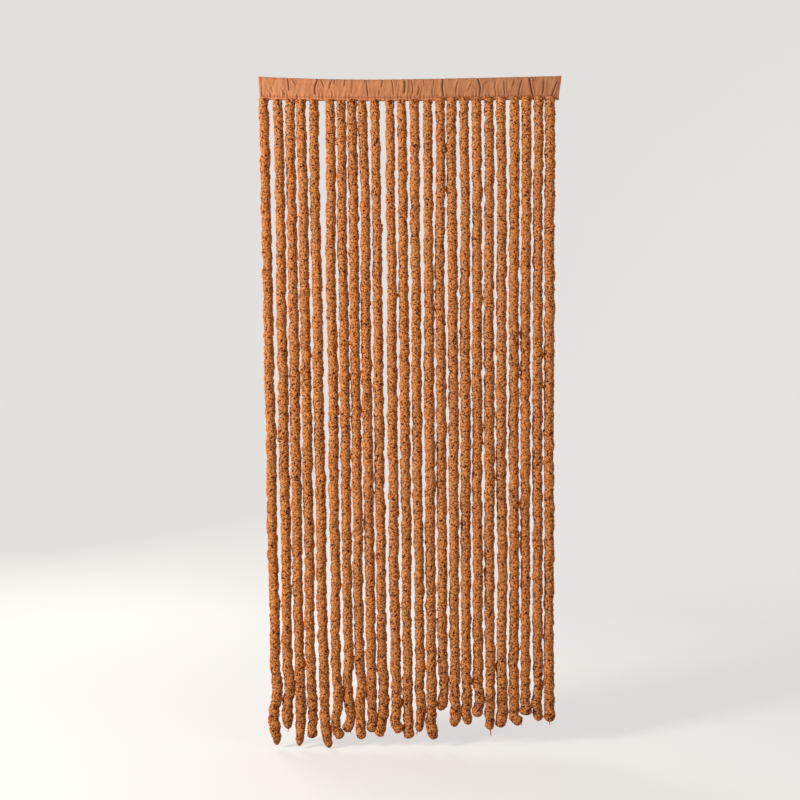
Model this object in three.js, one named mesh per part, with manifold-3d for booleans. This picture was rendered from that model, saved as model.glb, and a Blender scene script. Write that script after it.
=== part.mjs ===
// String door curtain: a gathered cotton heading, sewn as a sleeve that is open at both ends, and
// twenty-four thick chenille strands that hang from the hem along its lower edge.
//
// Millimetres, +Z up. The origin is the middle of the heading's top edge, where the curtain is held.
// The front faces -Y, and +X is to the right of someone who looks at the front.
import * as THREE from "three";
import { mergeVertices } from "three/addons/utils/BufferGeometryUtils.js";
import Module from "manifold-3d";

const wasm = await Module();
wasm.setup();

// Heading: the cloth tube from its top fold down to the row of stitching, and the hem under that row
const TOP_LEFT = -451;
const TOP_RIGHT = 451;
const SEAM_LEFT = -447;
const SEAM_RIGHT = 443.5;
const SLEEVE_HEIGHT = 54.5;
const HEM_HEIGHT = 12;
const HEM_SCALLOP = 1.2;
const PARTING = 0.35;

// The top fold sags between its two ends: its lowest place, and how each side climbs from there
const SAG_PLACE = -110;
const SAG_LEFT = { climb: 8.6, power: 1.9 };
const SAG_RIGHT = { climb: 11, power: 1.35 };
// The row of stitching sags less than the top fold does
const SEAM_SHARE = 0.5;

// The sleeve's section, a row for each level. down and inDown are shares of its height, outside and
// inside the cloth, and half and inHalf are the half depths there.
const SECTION = [
  { down: 0, half: 0, inDown: 0.036, inHalf: 0 },
  { down: 0.035, half: 5.4, inDown: 0.065, inHalf: 4.2 },
  { down: 0.13, half: 9.2, inDown: 0.14, inHalf: 7.2 },
  { down: 0.33, half: 10, inDown: 0.33, inHalf: 8 },
  { down: 0.58, half: 8.8, inDown: 0.575, inHalf: 6.8 },
  { down: 0.8, half: 5.4, inDown: 0.785, inHalf: 3.5 },
  { down: 1, half: 3, inDown: 0.91, inHalf: 0.5 },
];

// Main creases of the gathered cloth, a row for each. top and foot are where it would meet the top
// fold and the seam, from and to are the shares of the height that it runs between, and deep is how
// far the cloth turns in there.
const CREASES = [
  { top: -363, foot: -361, from: -0.1, to: 0.7, deep: 3.2 },
  { top: -349, foot: -338, from: 0.02, to: 0.4, deep: 1.8 },
  { top: -274, foot: -280, from: -0.1, to: 0.95, deep: 3.3 },
  { top: -228, foot: -238, from: -0.1, to: 0.5, deep: 1.6 },
  { top: -132, foot: -128, from: -0.1, to: 0.95, deep: 3 },
  { top: -82, foot: -91, from: 0.05, to: 0.65, deep: 2 },
  { top: -55, foot: -46, from: 0.2, to: 0.8, deep: 1.8 },
  { top: -16, foot: -14, from: 0.05, to: 0.65, deep: 3 },
  { top: 3, foot: 9, from: 0.05, to: 0.85, deep: 2 },
  { top: 72, foot: 69, from: -0.1, to: 0.5, deep: 1.5 },
  { top: 102, foot: 97, from: -0.1, to: 0.9, deep: 3.3 },
  { top: 142, foot: 137, from: 0.25, to: 0.75, deep: 2.4 },
  { top: 201, foot: 209, from: -0.1, to: 0.85, deep: 3 },
  { top: 251, foot: 258, from: 0.1, to: 0.9, deep: 1.6 },
  { top: 282, foot: 283, from: 0.25, to: 0.8, deep: 2 },
  { top: 306, foot: 293, from: 0.25, to: 0.9, deep: 1.6 },
  { top: 336, foot: 326, from: 0.25, to: 0.9, deep: 3 },
  { top: 355, foot: 371, from: -0.1, to: 1, deep: 3.4 },
  { top: 400, foot: 397, from: 0.3, to: 0.9, deep: 2.8 },
  { top: 437, foot: 425, from: 0.3, to: 0.95, deep: 2.8 },
];
const CREASE_HALF_WIDTH = 5;
const CREASE_FADE = 0.12;
const RIDGE_SHARE = 0.25;
const BACK_SHARE = 0.6;
const TOP_NOTCH_SHARE = 0.4;
const WIDEST_PANEL = 32;

// Strands: half the diagonal of the four-sided pile, how it swells and narrows, how it sways in
// depth, the steps between its rings, and the least gap between two strands. The phases set each
// strand's swells and sway apart from those of the one before it.
const PILE_RADIUS = 14.4;
const SWELL_SHARE = 0.05;
const SWELL_LENGTH = 173;
const SWELL_PHASE = 1.7;
const DEPTH_WAVE = 3;
const DEPTH_WAVE_LENGTH = 640;
const DEPTH_WAVE_PHASE = 2.4;
const STEP = 58;
const FOOT_STEP = 17;
const GAP = 0.8;
const LINE_DIVISIONS = 600;
const MERGE_DISTANCE = 1e-3;
const SIDES = 4;
// The section turns to one side and then to the other by this angle from ring to ring, so that its
// corners and flats take turns while its width from the front stays the same
const TURN = Math.PI / 8;
// How the pile opens out under the hem: distance along the strand, and share of the full radius
const NECK = [
  { along: 0, share: 0.16 },
  { along: 4, share: 0.62 },
  { along: 10, share: 0.92 },
  { along: 22, share: 1 },
];
// How the pile closes at the tip: share of the strand's taper length, and share of the radius
const TAPER = [
  { back: 1, share: 0.97 },
  { back: 0.55, share: 0.84 },
  { back: 0.2, share: 0.6 },
  { back: 0, share: 0.3 },
];

// Where each strand hangs, a row for each, left to right. The first five columns are its middle, in X,
// at the five levels below. knee, bend and tip are the last turns before its end, each as X and the
// distance below the origin. taper is the length over which the end narrows, and forward is how far
// the tip comes towards the viewer. girth is the share of the usual pile radius.
const LEVELS = { root: 74, high: 360, middle: 805, low: 1255, ankle: 1670 };
const STRANDS = [
  { root: -435, high: -426, middle: -421, low: -411, ankle: -402,
    knee: [-397, 1850], bend: [-404, 1879], tip: [-396, 1984], taper: 36, forward: 0, girth: 1 },
  { root: -395, high: -384, middle: -377, low: -374, ankle: -363,
    knee: [-367, 1856], bend: [-360, 1893], tip: [-361, 1934], taper: 34, forward: 2, girth: 0.98 },
  { root: -357, high: -354, middle: -344, low: -338, ankle: -330,
    knee: [-325, 1865], bend: [-324, 1927], tip: [-329, 1986], taper: 34, forward: 0, girth: 1.02 },
  { root: -328, high: -317, middle: -310, low: -302, ankle: -298,
    knee: [-292, 1868], bend: [-285, 1917], tip: [-294, 1961], taper: 14, forward: 7, girth: 0.98 },
  { root: -286, high: -284, middle: -275, low: -268, ankle: -262,
    knee: [-255, 1868], bend: [-251, 1939], tip: [-239, 1991], taper: 18, forward: 0, girth: 1 },
  { root: -238, high: -235, middle: -229, low: -225, ankle: -219,
    knee: [-215, 1874], bend: [-221, 1936], tip: [-203, 1961], taper: 14, forward: 5, girth: 0.97 },
  { root: -205, high: -202, middle: -195, low: -190, ankle: -187,
    knee: [-182, 1883], bend: [-178, 1918], tip: [-194, 1942], taper: 16, forward: 6, girth: 0.98 },
  { root: -173, high: -167, middle: -164, low: -156, ankle: -152,
    knee: [-147, 1868], bend: [-145, 1922], tip: [-144, 1964], taper: 14, forward: 0, girth: 1 },
  { root: -141, high: -134, middle: -131, low: -123, ankle: -116,
    knee: [-114, 1868], bend: [-111, 1904], tip: [-117, 1945], taper: 15, forward: -3, girth: 0.98 },
  { root: -105, high: -100, middle: -95, low: -88, ankle: -80,
    knee: [-78, 1868], bend: [-78, 1919], tip: [-89, 1957], taper: 18, forward: 6, girth: 0.98 },
  { root: -61, high: -59, middle: -53, low: -49, ankle: -46,
    knee: [-40, 1859], bend: [-43, 1918], tip: [-26, 1943], taper: 16, forward: 5, girth: 1.02 },
  { root: -25, high: -22, middle: -18, low: -13, ankle: -6,
    knee: [-7, 1859], bend: [-6, 1904], tip: [-5, 1963], taper: 12, forward: 0, girth: 0.98 },
  { root: 12, high: 14, middle: 21, low: 24, ankle: 30,
    knee: [35, 1875], bend: [31, 1910], tip: [25, 1944], taper: 30, forward: 0, girth: 0.98 },
  { root: 51, high: 54, middle: 58, low: 59, ankle: 63,
    knee: [65, 1874], bend: [64, 1933], tip: [76, 1965], taper: 18, forward: 5, girth: 1 },
  { root: 90, high: 91, middle: 94, low: 95, ankle: 98,
    knee: [104, 1826], bend: [98, 1853], tip: [91, 1880], taper: 18, forward: 2, girth: 1 },
  { root: 124, high: 125, middle: 128, low: 131, ankle: 132,
    knee: [136, 1850], bend: [136, 1895], tip: [128, 1928], taper: 24, forward: 0, girth: 1 },
  { root: 161, high: 166, middle: 164, low: 166, ankle: 166,
    knee: [170, 1859], bend: [167, 1892], tip: [177, 1922], taper: 22, forward: 2, girth: 0.98 },
  { root: 197, high: 200, middle: 198, low: 203, ankle: 201,
    knee: [209, 1841], bend: [204, 1868], tip: [193, 1898], taper: 22, forward: 3, girth: 0.98 },
  { root: 234, high: 234, middle: 236, low: 238, ankle: 236,
    knee: [239, 1859], bend: [236, 1898], tip: [239, 1938], taper: 22, forward: 0, girth: 1.02 },
  { root: 271, high: 273, middle: 274, low: 274, ankle: 274,
    knee: [277, 1862], bend: [275, 1894], tip: [264, 1929], taper: 14, forward: 6, girth: 1 },
  { root: 310, high: 310, middle: 310, low: 310, ankle: 310,
    knee: [312, 1865], bend: [311, 1899], tip: [330, 1919], taper: 16, forward: 5, girth: 1 },
  { root: 346, high: 346, middle: 346, low: 345, ankle: 344,
    knee: [344, 1838], bend: [345, 1866], tip: [346, 1892], taper: 9, forward: 10, girth: 0.94 },
  { root: 383, high: 380, middle: 382, low: 381, ankle: 382,
    knee: [379, 1859], bend: [381, 1883], tip: [384, 1911], taper: 18, forward: 0, girth: 0.96 },
  { root: 417, high: 416, middle: 415, low: 415, ankle: 414,
    knee: [415, 1856], bend: [414, 1886], tip: [416, 1912], taper: 16, forward: 0, girth: 1 },
];

// Height of the top fold over the origin, at x along the heading
function topFold(x) {
  const rise = (at) => {
    const side = at < SAG_PLACE ? SAG_LEFT : SAG_RIGHT;
    const end = at < SAG_PLACE ? TOP_LEFT : TOP_RIGHT;
    return side.climb * ((at - SAG_PLACE) / (end - SAG_PLACE)) ** side.power;
  };
  return rise(x) - rise(0);
}

// Height of the row of stitching, which is the sleeve's lower edge
const seam = (x) => SEAM_SHARE * topFold(x) - SLEEVE_HEIGHT;

// Smooth step from 0 to 1 as t goes from a to b
const ease = (t, a, b) => THREE.MathUtils.smoothstep(t, a, b);

// How much of a crease is there at a share of the height
function creaseAt(crease, share) {
  const starts = ease(share, crease.from - CREASE_FADE, crease.from + CREASE_FADE);
  const ends = 1 - ease(share, crease.to - CREASE_FADE, crease.to + CREASE_FADE);
  return starts * ends;
}

// Lines that run down the sleeve, left to right: the two ends, three for each crease, and more
// between them where the cloth lies smooth
function sleeveLines() {
  const ends = [
    { top: TOP_LEFT, foot: SEAM_LEFT },
    { top: TOP_RIGHT, foot: SEAM_RIGHT },
  ];
  const folded = CREASES.flatMap((crease) =>
    [-1, 0, 1].map((side) => ({
      top: crease.top + side * CREASE_HALF_WIDTH,
      foot: crease.foot + side * CREASE_HALF_WIDTH,
      crease,
      inward: side === 0 ? crease.deep : -RIDGE_SHARE * crease.deep,
    })),
  );
  const set = [ends[0], ...folded, ends[1]];
  return set.flatMap((line, i) => {
    if (i === 0) return [line];
    const before = set[i - 1];
    const panels = Math.ceil((line.top - before.top) / WIDEST_PANEL);
    return Array.from({ length: panels }, (_, n) => {
      const t = (n + 1) / panels;
      return n === panels - 1
        ? line
        : {
            top: THREE.MathUtils.lerp(before.top, line.top, t),
            foot: THREE.MathUtils.lerp(before.foot, line.foot, t),
          };
    });
  });
}

// One ring of the sleeve's section on a line: from the top fold down the front, then up the back
function sleeveRing(line, level, halfDepth, thinnest) {
  const point = (row, side) => {
    const share = row[level];
    const x = THREE.MathUtils.lerp(line.top, line.foot, share);
    const turn = line.crease ? line.inward * creaseAt(line.crease, share) : 0;
    const inward = turn * (side < 0 ? 1 : BACK_SHARE);
    const depth = row[halfDepth] === 0 ? 0 : Math.max(row[halfDepth] - inward, thinnest);
    const notch = row === SECTION[0] ? TOP_NOTCH_SHARE * Math.max(turn, 0) : 0;
    const top = topFold(x) - notch;
    return new THREE.Vector3(x, side * depth, THREE.MathUtils.lerp(top, seam(x), share));
  };
  const front = SECTION.map((row) => point(row, -1));
  const back = SECTION.slice(1).map((row) => point(row, 1));
  return [...front, ...back.reverse()];
}

// Triangles between two rings of equal length; turned faces the other way
function wall(triangles, from, to, count, turned) {
  for (let i = 0; i < count; i += 1) {
    const next = (i + 1) % count;
    const [a, b, c, d] = [from + i, from + next, to + next, to + i];
    if (turned) triangles.push(a, c, b, a, d, c);
    else triangles.push(a, b, c, a, c, d);
  }
}

// An indexed geometry of points and triangles
function meshGeometry(points, triangles) {
  const geometry = new THREE.BufferGeometry().setFromPoints(points);
  geometry.setIndex(triangles);
  return geometry;
}

// Open-ended cloth tube: an outer and an inner skin joined by a rim at each end
function sleeveGeometry() {
  const OUTER_THINNEST = 2.6;
  const INNER_THINNEST = 0.4;
  const lines = sleeveLines();
  const outer = lines.map((line) => sleeveRing(line, "down", "half", OUTER_THINNEST));
  const inner = lines.map((line) => sleeveRing(line, "inDown", "inHalf", INNER_THINNEST));
  const count = outer[0].length;
  const skin = lines.length * count;
  const triangles = [];
  for (let i = 0; i + 1 < lines.length; i += 1) {
    wall(triangles, i * count, (i + 1) * count, count, false);
    wall(triangles, skin + i * count, skin + (i + 1) * count, count, true);
  }
  const last = (lines.length - 1) * count;
  wall(triangles, 0, skin, count, true);
  wall(triangles, last, skin + last, count, false);
  return meshGeometry([...outer.flat(), ...inner.flat()], triangles);
}

// Closed loft through rings of equal length, with a flat fan at each end
function loftGeometry(rings) {
  const count = rings[0].length;
  const triangles = [];
  for (let i = 0; i + 1 < rings.length; i += 1) {
    wall(triangles, i * count, (i + 1) * count, count, false);
  }
  const last = (rings.length - 1) * count;
  for (let i = 1; i + 1 < count; i += 1) {
    triangles.push(0, i + 1, i, last, last + i, last + i + 1);
  }
  return meshGeometry(rings.flat(), triangles);
}

// The hem under the seam: two turned layers of cloth, a little lower where a strand is sewn in
function hemGeometry() {
  const HALF_DEPTH = { top: 3, middle: 3.4, foot: 2.4 };
  const between = STRANDS.slice(1).map((strand, i) => (strand.root + STRANDS[i].root) / 2);
  const places = [
    { x: SEAM_LEFT, low: false },
    ...STRANDS.map((strand) => ({ x: strand.root, low: true })),
    ...between.map((x) => ({ x, low: false })),
    { x: SEAM_RIGHT, low: false },
  ].sort((a, b) => a.x - b.x);
  const rings = places.map(({ x, low }) => {
    const top = seam(x) - PARTING;
    const foot = top - HEM_HEIGHT + (low ? 0 : HEM_SCALLOP);
    const middle = (top + foot) / 2;
    const side = (sign) => [
      new THREE.Vector3(x, sign * HALF_DEPTH.top, top),
      new THREE.Vector3(x, sign * HALF_DEPTH.middle, middle),
      new THREE.Vector3(x, sign * HALF_DEPTH.foot, foot),
    ];
    return [...side(-1), ...side(1).reverse()];
  });
  return loftGeometry(rings);
}

// The places that a strand passes, from its root in the hem to its tip, as X and distance below the
// origin
function strandPlaces(strand) {
  const rootDown = -seam(strand.root) + HEM_HEIGHT / 2;
  const levels = Object.keys(LEVELS).map((level) => [strand[level], LEVELS[level]]);
  return [[strand.root, rootDown], ...levels, strand.knee, strand.bend, strand.tip];
}

// The middle line of a strand
function strandLine(strand, number) {
  const places = strandPlaces(strand);
  const points = places.map(([x, down], i) => {
    const isRoot = i === 0;
    const isTip = i === places.length - 1;
    const phase = (2 * Math.PI * down) / DEPTH_WAVE_LENGTH + DEPTH_WAVE_PHASE * number;
    const swing = isRoot ? 0 : DEPTH_WAVE * Math.sin(phase) * ease(down, LEVELS.root, LEVELS.high);
    return new THREE.Vector3(x, swing - (isTip ? strand.forward : 0), -down);
  });
  const line = new THREE.CatmullRomCurve3(points, false, "centripetal");
  line.arcLengthDivisions = LINE_DIVISIONS;
  return line;
}

// X of a strand at a distance below the origin, for the room that it leaves its neighbours
function strandX(strand, down) {
  const places = strandPlaces(strand);
  const after = places.findIndex((place) => place[1] > down);
  if (after < 0) return null;
  if (after === 0) return strand.root;
  const [[x0, down0], [x1, down1]] = [places[after - 1], places[after]];
  return THREE.MathUtils.lerp(x0, x1, (down - down0) / (down1 - down0));
}

// The widest radius that keeps a strand apart from the ones beside it
function roomAt(number, x, down) {
  const beside = [STRANDS[number - 1], STRANDS[number + 1]].filter(Boolean);
  const spans = beside
    .map((other) => strandX(other, down))
    .filter((at) => at !== null)
    .map((at) => (Math.abs(at - x) - GAP) / 2 / Math.cos(TURN));
  return Math.min(PILE_RADIUS * 2, ...spans);
}

// Share of the full radius at a distance along a strand, from its neck to its tip
function closing(along, length, taper) {
  const neck = NECK.findIndex((row) => row.along >= along);
  if (neck === 0) return NECK[0].share;
  if (neck > 0) {
    const [a, b] = [NECK[neck - 1], NECK[neck]];
    return THREE.MathUtils.mapLinear(along, a.along, b.along, a.share, b.share);
  }
  const back = (length - along) / taper;
  const tip = TAPER.findIndex((row) => row.back <= back);
  if (tip <= 0) return 1;
  const [a, b] = [TAPER[tip - 1], TAPER[tip]];
  return THREE.MathUtils.mapLinear(back, a.back, b.back, a.share, b.share);
}

// Distances along a strand where it has a ring: close together at the neck, the foot and the tip
function ringPlaces(strand, length) {
  const neckEnd = NECK[NECK.length - 1].along;
  const footLength = strand.tip[1] - strand.knee[1];
  const footStart = length - footLength;
  const taperStart = length - strand.taper;
  const spread = (from, to, step) => {
    const count = Math.max(1, Math.round((to - from) / step));
    return Array.from({ length: count }, (_, i) => from + ((i + 1) * (to - from)) / count);
  };
  return [
    ...NECK.map((row) => row.along),
    ...spread(neckEnd, footStart, STEP),
    ...spread(footStart, taperStart, FOOT_STEP),
    ...TAPER.slice(1).map((row) => length - row.back * strand.taper),
  ];
}

// One strand: four-sided pile around its middle line
function strandGeometry(strand, number) {
  const line = strandLine(strand, number);
  const length = line.getLength();
  const rings = ringPlaces(strand, length).map((along, step) => {
    const middle = line.getPointAt(along / length);
    const ahead = line.getTangentAt(along / length);
    const right = new THREE.Vector3(0, 1, 0).cross(ahead).normalize();
    const forward = new THREE.Vector3().crossVectors(ahead, right).normalize();
    const phase = (2 * Math.PI * along) / SWELL_LENGTH + SWELL_PHASE * number;
    const swell = 1 + SWELL_SHARE * Math.sin(phase);
    const full = PILE_RADIUS * strand.girth * swell;
    const room = roomAt(number, middle.x, -middle.z);
    const radius = Math.min(full, room) * closing(along, length, strand.taper);
    return Array.from({ length: SIDES }, (_, i) => {
      const angle = (2 * Math.PI * i) / SIDES + (step % 2 ? TURN : -TURN);
      return middle
        .clone()
        .addScaledVector(right, radius * Math.cos(angle))
        .addScaledVector(forward, radius * Math.sin(angle));
    });
  });
  return loftGeometry(rings);
}

// A closed mesh as a solid that booleans can join
function solidOf(geometry) {
  const merged = mergeVertices(geometry, MERGE_DISTANCE);
  return new wasm.Manifold(
    new wasm.Mesh({
      numProp: 3,
      vertProperties: merged.attributes.position.array,
      triVerts: new Uint32Array(merged.index.array),
    }),
  );
}

// A solid as a geometry that three.js can draw
function geometryOf(solid) {
  const mesh = solid.getMesh();
  const geometry = new THREE.BufferGeometry();
  geometry.setAttribute("position", new THREE.BufferAttribute(mesh.vertProperties, 3));
  geometry.setIndex(new THREE.BufferAttribute(mesh.triVerts, 1));
  return geometry;
}

// The hem with the root of every strand fused into it
function hemAndStrandsGeometry() {
  const strands = STRANDS.map((strand, number) => solidOf(strandGeometry(strand, number)));
  return geometryOf(strands.reduce((joined, strand) => joined.add(strand), solidOf(hemGeometry())));
}

const cotton = new THREE.MeshStandardMaterial({ color: 0xc98258, roughness: 0.92, metalness: 0 });
const chenille = new THREE.MeshStandardMaterial({ color: 0xb2662f, roughness: 0.95, metalness: 0 });

function namedMesh(name, geometry, material) {
  geometry.computeVertexNormals();
  const mesh = new THREE.Mesh(geometry, material);
  mesh.name = name;
  return mesh;
}

const curtain = new THREE.Group();
curtain.name = "string_door_curtain";
curtain.add(namedMesh("heading_sleeve", sleeveGeometry(), cotton));
curtain.add(namedMesh("hem_and_strands", hemAndStrandsGeometry(), chenille));

export default curtain;
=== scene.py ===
# String door curtain: a gathered cotton heading, sewn as a sleeve that is open at both ends, and
# twenty-four thick chenille strands that hang from its hem.
#
# The scene is in metres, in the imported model's own frame: +Z up, the origin in the middle of the
# heading's top edge, the front facing -Y. Sizes are named in millimetres, and MM turns them to metres.
import math

import bpy
import numpy as np
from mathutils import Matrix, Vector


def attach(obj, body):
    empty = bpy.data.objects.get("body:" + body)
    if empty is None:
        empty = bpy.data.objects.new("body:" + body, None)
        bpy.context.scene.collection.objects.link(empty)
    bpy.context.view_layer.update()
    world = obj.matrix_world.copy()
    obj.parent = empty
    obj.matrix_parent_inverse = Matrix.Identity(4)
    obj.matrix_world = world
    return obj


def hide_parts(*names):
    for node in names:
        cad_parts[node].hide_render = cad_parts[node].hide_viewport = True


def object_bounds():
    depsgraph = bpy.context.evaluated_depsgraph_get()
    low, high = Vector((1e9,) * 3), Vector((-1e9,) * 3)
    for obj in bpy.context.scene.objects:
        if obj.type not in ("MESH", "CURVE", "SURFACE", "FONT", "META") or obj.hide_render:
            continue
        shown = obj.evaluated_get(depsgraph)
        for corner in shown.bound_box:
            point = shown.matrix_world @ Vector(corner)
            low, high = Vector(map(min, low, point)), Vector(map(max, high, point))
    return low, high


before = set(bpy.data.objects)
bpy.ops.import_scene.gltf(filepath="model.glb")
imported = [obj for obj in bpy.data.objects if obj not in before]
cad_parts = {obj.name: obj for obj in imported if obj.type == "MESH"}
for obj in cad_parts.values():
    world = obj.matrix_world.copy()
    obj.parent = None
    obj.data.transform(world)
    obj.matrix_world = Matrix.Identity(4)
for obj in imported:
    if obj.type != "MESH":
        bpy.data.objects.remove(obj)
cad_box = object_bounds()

MM = 0.001

# The photograph's frame, in its own pixels, and the real size of one pixel at the curtain
PICTURE_WIDTH = 800
PIXEL = 2.98
PICTURE_MIDDLE = (-29.5, -956)
CAMERA_DISTANCE = 3400
SENSOR_WIDTH = 36

# Heading: the cloth from its top fold to the row of stitching, and the hem under that row
TOP_LEFT = -451
TOP_RIGHT = 451
SEAM_LEFT = -447
SEAM_RIGHT = 443.5
SLEEVE_HEIGHT = 54.5
# The top fold sags: its lowest place, and how it climbs to each end. The seam follows a share of that
SAG_PLACE = -110
SAG_LEFT = {"climb": 8.6, "power": 1.9}
SAG_RIGHT = {"climb": 11, "power": 1.35}
SEAM_SHARE = 0.5
CLOTH_THICKNESS = 0.8
# The strip of cloth when it lies flat
# Pitch of the cloth's points: at a crease, between creases, over the front, at the seam and behind
CREASE_PITCH = 1.15
COLUMN_PITCH = 3
ROW_PITCH = 2.6
SEAM_ROW_PITCH = 1
BACK_ROW_PITCH = 4

# The front half of the heading's section, from the cloth's turned-in edge inside the hem up to the
# top fold. Each place has its depth from the middle, and its height: in the hem in millimetres from the
# seam, and in the sleeve as the share of its height below the top fold
HEM_PROFILE = [(0.6, -7.5), (0.7, -9.5), (1.5, -11.6), (2.6, -11.2)]
HEM_PROFILE += [(3.3, -8.5), (3.6, -5), (3.1, -1.7)]
SLEEVE_PROFILE = [(1.6, 1), (3.4, 0.965), (5.6, 0.8), (8.8, 0.58)]
SLEEVE_PROFILE += [(10, 0.33), (9.2, 0.13), (5.4, 0.035), (0, 0)]
# Front and back stay this far from the middle of the sleeve, except where they meet
LEAST_DEPTH = 1.1

# Side hems: the place of their edge from the end of the heading, how much their double cloth stands out,
# and how their cloth goes round the end and back inside, as distances from the end and from the outside
SIDE_HEM_EDGE = (8, 9.6)
SIDE_HEM_RISE = 0.7
SIDE_HEM_TURN = [(0.2, 0.9), (2.5, 1.5), (6.5, 1.6)]
# Turned edges look redder: how much, and where it starts and ends, from the end and from the seam
EDGE_TINT = 0.45
SIDE_TINT = (5, 9.5)
HEM_TINT = (7, 11.5)
# The root of a strand pushes the hem out: how far to its sides, how far below the seam, and how much
ROOT_BULGE = {"wide": 8, "below": 5, "out": 0.9}
# Between the strands the edge of the hem rises: by how much, and how far to its sides a root holds it
HEM_SCALLOP = 1.2
SCALLOP_WIDE = 11

# Soft wrinkles all over the cloth, and puckers along the seam, each with its length and height
WRINKLE_LENGTHS = (11, 14, 17, 21, 26, 33, 41)
WRINKLE_STEEPNESS = 0.011
WRINKLE_SLANT = 0.5
PUCKERS = [(7.3, 0.5), (9.7, 0.7), (13.1, 0.6), (37.4, 0.5)]
PUCKER_REACH = 9

# Creases of the gathered cloth. Each runs from one place to another, as X and the share of the height
# below the top fold. bow is how far its middle lies to the side, deep is how far the cloth turns in and
# wide is the half width of its trough.
CREASE_COLUMNS = ("start", "end", "bow", "deep", "wide")
CREASE_ROWS = [
    ((-433, 0.28), (-414, 0.90), 0, 1.4, 2.2),
    ((-414, 0.33), (-405, 0.87), 0, 1.3, 2.0),
    ((-378, 0.50), (-386, 0.65), 0, 2.0, 1.6),
    ((-382, 0.62), (-370, 0.95), 0, 2.8, 1.6),
    ((-363, -0.02), (-359, 0.70), 0, 4.0, 1.7),
    ((-352, 0.02), (-340, 0.38), 0, 3.4, 1.6),
    ((-311, 0.85), (-310, 1.05), 0, 1.6, 1.6),
    ((-272, -0.02), (-280, 0.92), -5, 4.3, 2.3),
    ((-266, 0.04), (-253, 0.50), 0, 3.0, 1.7),
    ((-229, -0.02), (-239, 0.55), -1, 2.6, 1.7),
    ((-235, 0.58), (-229, 0.92), 1.5, 1.9, 1.8),
    ((-222, -0.02), (-225, 0.33), 0, 2.7, 1.6),
    ((-190, -0.02), (-195, 0.42), -2, 3.0, 1.6),
    ((-171, 0.10), (-171, 0.80), 0, 0.9, 2.4),
    ((-134, 0.02), (-134, 0.32), 0, 2.2, 1.6),
    ((-130, -0.02), (-126, 0.92), 1, 3.8, 1.8),
    ((-91, 0.60), (-91, 0.90), 0, 2.5, 1.7),
    ((-79, -0.02), (-84, 0.45), 0, 2.3, 1.7),
    ((-55, 0.03), (-48, 0.86), 1, 3.1, 1.7),
    ((-41, 0.24), (-37, 0.40), 0, 1.6, 1.6),
    ((-16, 0.08), (-17, 0.80), 2.5, 4.2, 3.2),
    ((-1, -0.02), (1, 0.20), 0, 2.2, 1.6),
    ((5, 0.06), (7, 0.82), 2.5, 3.3, 1.7),
    ((26, 0.42), (21, 0.92), 3, 3.0, 2.0),
    ((40, -0.05), (43, 0.42), 0, 2.2, 1.5),
    ((68, 0.64), (67, 0.97), 0, 2.0, 1.6),
    ((72, -0.02), (71, 0.40), 0, 1.8, 1.5),
    ((100, -0.05), (100, 0.97), -3, 4.4, 2.3),
    ((145, 0.20), (138, 0.95), -3.5, 3.0, 1.9),
    ((184, 0.30), (173, 0.68), 0, 2.4, 2.1),
    ((200, -0.02), (209, 0.97), 4, 4.2, 2.2),
    ((236, 0.18), (211, 0.50), 0, 3.0, 1.8),
    ((255, 0.25), (258, 0.87), -2.5, 2.1, 1.9),
    ((280, 0.24), (282, 0.98), 0, 3.1, 1.6),
    ((297, 0.66), (286, 0.90), 0, 2.5, 1.6),
    ((312, 0.20), (304, 0.55), 0, 2.7, 1.8),
    ((335, 0.17), (326, 0.97), -4, 3.5, 1.9),
    ((355, -0.05), (369, 1.02), -3.5, 5.0, 2.3),
    ((363, -0.02), (370, 0.32), 0, 2.6, 1.6),
    ((372, -0.03), (375, 0.22), 0, 2.6, 1.5),
    ((400, 0.18), (395, 0.92), 0.5, 3.3, 2.6),
    ((438, 0.80), (433, 1.00), 0, 2.0, 1.6),
    ((440, 0.30), (425, 1.00), -3, 4.2, 1.9),
]
CREASES = [dict(zip(CREASE_COLUMNS, row)) for row in CREASE_ROWS]
# A crease fades in and out over this share of the height, and its line wavers a little
CREASE_FADE = 0.09
CREASE_WAVER = {"reach": 0.5, "pace": 7}
# Painted shade in a crease: by what share the cloth's colour darkens there, and from which depth on to
# which depth
CREASE_PAINTED_SHADE = 0.6
CREASE_SHADE_DEPTHS = (0.8, 3.6)
# The cloth rises beside a trough: how far away, in half widths of the trough, and by what share
NEAR_RIDGE = {"away": 2.1, "share": 0.42, "wide": 1.5}
FAR_RIDGE = {"away": -2.4, "share": 0.28, "wide": 1.8}
# How deep a crease is behind, and how deep it notches the top fold, as shares of its depth in front
BACK_SHARE = 0.6
NOTCH_SHARE = 0.5
# Creases and wrinkles get shallow towards the ends of the heading, over this distance from an end
END_REACH = (-4, 12)

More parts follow.
